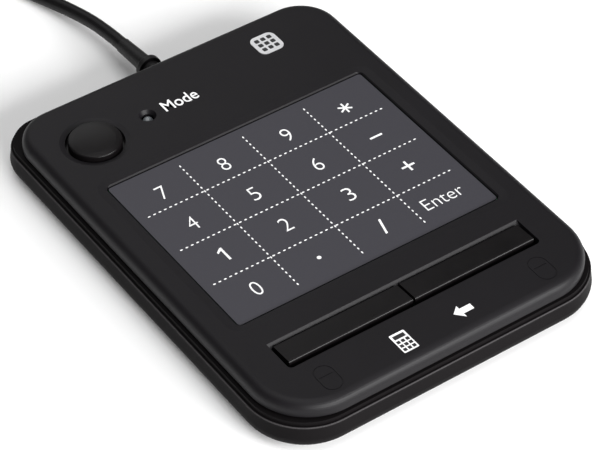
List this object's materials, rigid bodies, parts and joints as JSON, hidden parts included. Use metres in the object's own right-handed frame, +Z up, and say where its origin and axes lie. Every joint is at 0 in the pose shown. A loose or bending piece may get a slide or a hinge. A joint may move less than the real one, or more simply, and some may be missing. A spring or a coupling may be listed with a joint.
{
  "type": "touch keypad",
  "caption": "Slim black desk touch keypad with a printed touch panel, round mode button, status lamp, paired bar keys and a coiled USB cord.",
  "frame": {"origin": "on the desk under the middle of the case", "axes": "+Y to the cord end, +X to the right, +Z up"},
  "size_m": [0.1076, 0.243, 0.0166],
  "materials": {
    "case_plastic": "fine moulded texture",
    "panel_film": "satin printed film",
    "tape": "double-sided tape",
    "circuit_board": "solder mask on glass epoxy",
    "chip_epoxy": "moulded epoxy",
    "ceramic_parts": "fired ceramic",
    "socket_nylon": "natural nylon",
    "ribbon_film": "laminated film",
    "bright_metal": "nickel plate",
    "switch_nylon": "moulded nylon",
    "plunger_nylon": "moulded nylon",
    "key_plastic": "semi-gloss moulding",
    "lamp_epoxy": "clear cast lens",
    "emblem_foil": "silver printed plate",
    "wire_pvc": "wire insulation",
    "screw_steel": "zinc plate",
    "foot_rubber": "moulded rubber",
    "label_film": "silver polyester label",
    "cord_pvc": "soft satin jacket",
    "tie_pvc": "flat coated strap",
    "tongue_nylon": "moulded nylon",
    "contact_gold": "gold flash"
  },
  "bodies": {
    "case": {"upper_case": "case_plastic", "lower_case": "case_plastic", "touch_panel": "panel_film", "panel_adhesive": "tape", "sensor_board": "circuit_board", "sensor_chip": "chip_epoxy", "sensor_parts": "ceramic_parts", "sensor_socket": "socket_nylon", "ribbon_cable": "ribbon_film", "board_socket": "socket_nylon", "main_board": "circuit_board", "usb_chip": "chip_epoxy", "crystal": "bright_metal", "board_parts": "ceramic_parts", "mode_switch": "switch_nylon", "left_switch": "switch_nylon", "right_switch": "switch_nylon", "mode_lamp": "lamp_epoxy", "lamp_legs": "bright_metal", "emblem": "emblem_foil", "cord_header": "socket_nylon", "header_plug": "socket_nylon", "inner_wires": "wire_pvc", "board_screws": "screw_steel", "case_screws": "screw_steel", "rubber_feet": "foot_rubber", "rating_label": "label_film", "strain_relief": "cord_pvc", "cord_run": "cord_pvc", "cord_coil": "cord_pvc", "coil_tie": "tie_pvc", "cord_tail": "cord_pvc", "plug_grip": "cord_pvc", "plug_shell": "bright_metal", "plug_tongue": "tongue_nylon", "plug_contacts": "contact_gold"},
    "mode_button": {"mode_button": "key_plastic"},
    "mode_plunger": {"mode_plunger": "plunger_nylon"},
    "left_key": {"left_key": "key_plastic"},
    "left_plunger": {"left_plunger": "plunger_nylon"},
    "right_key": {"right_key": "key_plastic"},
    "right_plunger": {"right_plunger": "plunger_nylon"}
  },
  "joints": [
    {"name": "mode_press", "type": "slide", "parent": "case", "child": "mode_button", "axis": [0, 0, -1], "range_m": [0, 0.0004], "stiffness_N_per_m": 400},
    {"name": "mode_plunger_press", "type": "slide", "parent": "case", "child": "mode_plunger", "axis": [0, 0, -1], "range_m": [0, 0.0004]},
    {"name": "left_key_press", "type": "hinge", "parent": "case", "child": "left_key", "pos_m": [-0.0185, -0.0374, 0.0112], "axis": [1, 0, 0], "range_deg": [0, 3], "stiffness_Nm_per_rad": 0.05},
    {"name": "left_plunger_press", "type": "slide", "parent": "case", "child": "left_plunger", "axis": [0, 0, -1], "range_m": [0, 0.0005]},
    {"name": "right_key_press", "type": "hinge", "parent": "case", "child": "right_key", "pos_m": [0.0185, -0.0374, 0.0112], "axis": [1, 0, 0], "range_deg": [0, 3], "stiffness_Nm_per_rad": 0.05},
    {"name": "right_plunger_press", "type": "slide", "parent": "case", "child": "right_plunger", "axis": [0, 0, -1], "range_m": [0, 0.0005]}
  ],
  "couplings": [
    {"joint": "mode_plunger_press", "follows": "mode_press", "ratio": 1},
    {"joint": "left_plunger_press", "follows": "left_key_press", "m_per_rad": 0.00715},
    {"joint": "right_plunger_press", "follows": "right_key_press", "m_per_rad": 0.00715}
  ]
}
